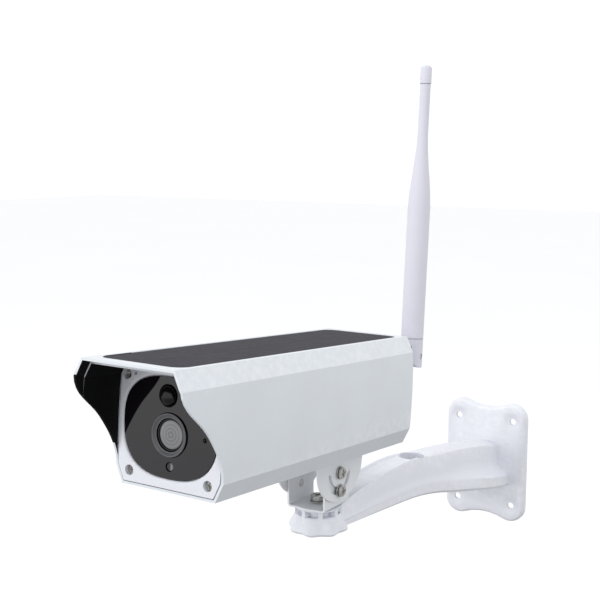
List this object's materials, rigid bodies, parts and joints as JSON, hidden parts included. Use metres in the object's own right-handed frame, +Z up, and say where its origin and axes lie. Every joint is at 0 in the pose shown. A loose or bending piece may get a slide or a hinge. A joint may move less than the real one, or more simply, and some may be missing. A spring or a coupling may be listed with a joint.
{
  "type": "solar-powered security camera",
  "caption": "Bullet security camera with a solar panel on its roof, a sun visor and a folding antenna, on a pan-and-tilt wall arm.",
  "frame": {"origin": "centre of the wall plate's back face", "axes": "+Y into the wall, +Z up, the camera looks along -Y"},
  "size_m": [0.066, 0.4173, 0.3375],
  "materials": {
    "white_plastic": "satin",
    "painted_shell": "satin",
    "bracket_sheet": "satin",
    "radome_plastic": "matte",
    "plated_steel": "gloss",
    "brass": "satin",
    "window_acrylic": "gloss",
    "black_plastic": "satin",
    "pir_plastic": "gloss",
    "lens_glass": "gloss",
    "solar_cells": "satin",
    "rubber": "matte",
    "circuit_board": "satin",
    "battery_wrap": "gloss"
  },
  "bodies": {
    "wall_bracket": {"wall_bracket": "white_plastic"},
    "pan_bracket": {"lower_bracket": "bracket_sheet", "pan_bolt": "plated_steel", "pan_spring_washer": "plated_steel", "pan_nut": "plated_steel", "tilt_pivot_screw_right": "plated_steel", "tilt_pivot_washer_right": "plated_steel", "tilt_lock_screw_right": "plated_steel", "tilt_lock_washer_right": "plated_steel", "tilt_pivot_screw_left": "plated_steel", "tilt_pivot_washer_left": "plated_steel", "tilt_lock_screw_left": "plated_steel", "tilt_lock_washer_left": "plated_steel"},
    "antenna_turn_base": {"antenna_base": "radome_plastic", "antenna_pin": "plated_steel"},
    "antenna_whip": {"antenna_elbow": "radome_plastic", "antenna_rod": "radome_plastic", "antenna_tip": "radome_plastic"},
    "power_button": {"power_button": "rubber"},
    "port_cover": {"port_cover": "rubber"},
    "camera": {"upper_bracket": "bracket_sheet", "bracket_screw_front": "plated_steel", "bracket_screw_rear": "plated_steel", "housing": "painted_shell", "solar_panel": "solar_cells", "solar_panel_bond": "rubber", "front_plate": "white_plastic", "front_gasket": "rubber", "front_window": "window_acrylic", "lens_bezel": "black_plastic", "lens_barrel": "black_plastic", "lens_glass": "lens_glass", "lens_holder": "black_plastic", "front_board": "circuit_board", "pir_lens": "pir_plastic", "pir_sensor": "plated_steel", "light_sensor": "lens_glass", "microphone": "plated_steel", "battery_holder": "black_plastic", "main_board": "circuit_board", "rear_cap": "white_plastic", "rear_gasket": "rubber", "rear_board": "circuit_board", "antenna_connector": "brass", "antenna_nut": "brass", "battery_contact_front": "brass", "battery_contact_rear": "brass", "front_screw_1": "plated_steel", "rear_screw_1": "plated_steel", "battery_cell_1": "battery_wrap", "front_screw_2": "plated_steel", "rear_screw_2": "plated_steel", "battery_cell_2": "battery_wrap", "front_screw_3": "plated_steel", "rear_screw_3": "plated_steel", "battery_cell_3": "battery_wrap", "front_screw_4": "plated_steel", "rear_screw_4": "plated_steel", "battery_cell_4": "battery_wrap"}
  },
  "joints": [
    {"name": "pan", "type": "hinge", "parent": "wall_bracket", "child": "pan_bracket", "pos_m": [0, -0.254, 0.034], "axis": [0, 0, 1], "range_deg": [-90, 90]},
    {"name": "tilt", "type": "hinge", "parent": "pan_bracket", "child": "camera", "pos_m": [0, -0.254, 0.05652], "axis": [1, 0, 0], "range_deg": [-25, 60]},
    {"name": "antenna_turn", "type": "hinge", "parent": "camera", "child": "antenna_turn_base", "pos_m": [0.021, -0.1785, 0.1133], "axis": [0, 0.9968, -0.0802], "range_deg": [-90, 90]},
    {"name": "antenna_fold", "type": "hinge", "parent": "antenna_turn_base", "child": "antenna_whip", "pos_m": [0.021, -0.1785, 0.1133], "axis": [-1, 0, 0], "range_deg": [0, 90]},
    {"name": "power_button", "type": "slide", "parent": "camera", "child": "power_button", "axis": [0, -0.9968, 0.0802], "range_m": [0, 0.001], "stiffness_N_per_m": 250},
    {"name": "port_cover", "type": "slide", "parent": "camera", "child": "port_cover", "axis": [0, 0.9968, -0.0802], "range_m": [0, 0.0045]}
  ]
}
